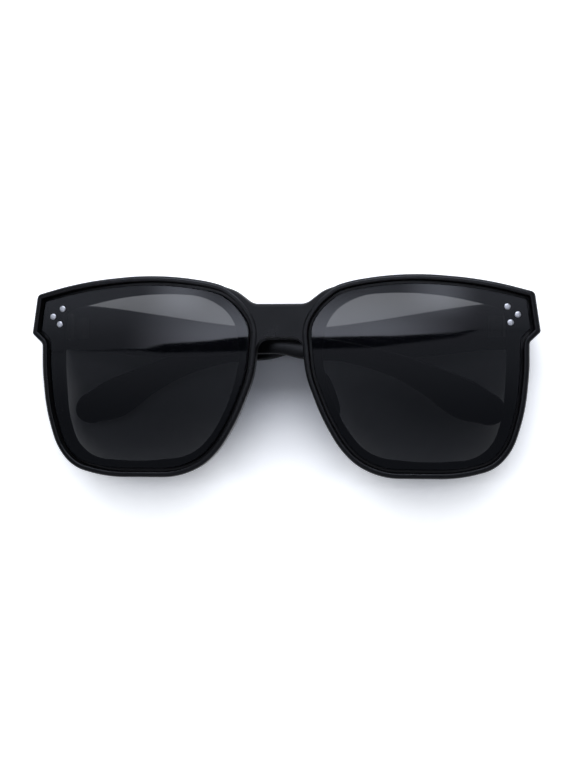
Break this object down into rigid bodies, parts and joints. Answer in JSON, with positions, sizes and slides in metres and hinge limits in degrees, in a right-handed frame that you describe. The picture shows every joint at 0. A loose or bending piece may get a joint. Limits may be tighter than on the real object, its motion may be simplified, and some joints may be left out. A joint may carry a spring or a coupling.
{
  "type": "fit-over sunglasses",
  "caption": "Large fit-over sunglasses with two folding arms on knuckle hinges, dark lenses riveted at the corners and soft nose pads.",
  "frame": {"origin": "on the table, under the middle of the front: the centre of the folded object's box at its base", "axes": "+X to the right of the front as it is seen from outside, +Y to the brow, +Z out of the front, away from the wearer"},
  "size_m": [0.1502, 0.0592, 0.0216],
  "materials": {
    "frame_plastic": "satin black",
    "arm_plastic": "satin black",
    "smoke_lens": "polished dark smoke tint",
    "pad_rubber": "matt",
    "bright_steel": "polished",
    "hinge_steel": "satin"
  },
  "bodies": {
    "front": {"front_frame": "frame_plastic", "lens_left": "smoke_lens", "nose_pad_left": "pad_rubber", "front_hinge_leaf_left": "hinge_steel", "hinge_screw_left": "hinge_steel", "corner_rivet_left_1": "bright_steel", "corner_rivet_left_2": "bright_steel", "corner_rivet_left_3": "bright_steel", "front_hinge_rivet_left_1": "hinge_steel", "front_hinge_rivet_left_2": "hinge_steel", "lens_right": "smoke_lens", "nose_pad_right": "pad_rubber", "front_hinge_leaf_right": "hinge_steel", "hinge_screw_right": "hinge_steel", "corner_rivet_right_1": "bright_steel", "corner_rivet_right_2": "bright_steel", "corner_rivet_right_3": "bright_steel", "front_hinge_rivet_right_1": "hinge_steel", "front_hinge_rivet_right_2": "hinge_steel"},
    "arm_left": {"arm_left": "arm_plastic", "arm_hinge_leaf_left": "hinge_steel", "arm_hinge_rivet_left_1": "hinge_steel", "arm_hinge_rivet_left_2": "hinge_steel"},
    "arm_right": {"arm_right": "arm_plastic", "arm_hinge_leaf_right": "hinge_steel", "arm_hinge_rivet_right_1": "hinge_steel", "arm_hinge_rivet_right_2": "hinge_steel"}
  },
  "joints": [
    {"name": "left_arm_hinge", "type": "hinge", "parent": "front", "child": "arm_left", "pos_m": [-0.066, 0.01494, 0.0057], "axis": [0, 1, 0], "range_deg": [0, 93.7]},
    {"name": "right_arm_hinge", "type": "hinge", "parent": "front", "child": "arm_right", "pos_m": [0.066, 0.01494, 0.0057], "axis": [0, -1, 0], "range_deg": [0, 89]}
  ]
}
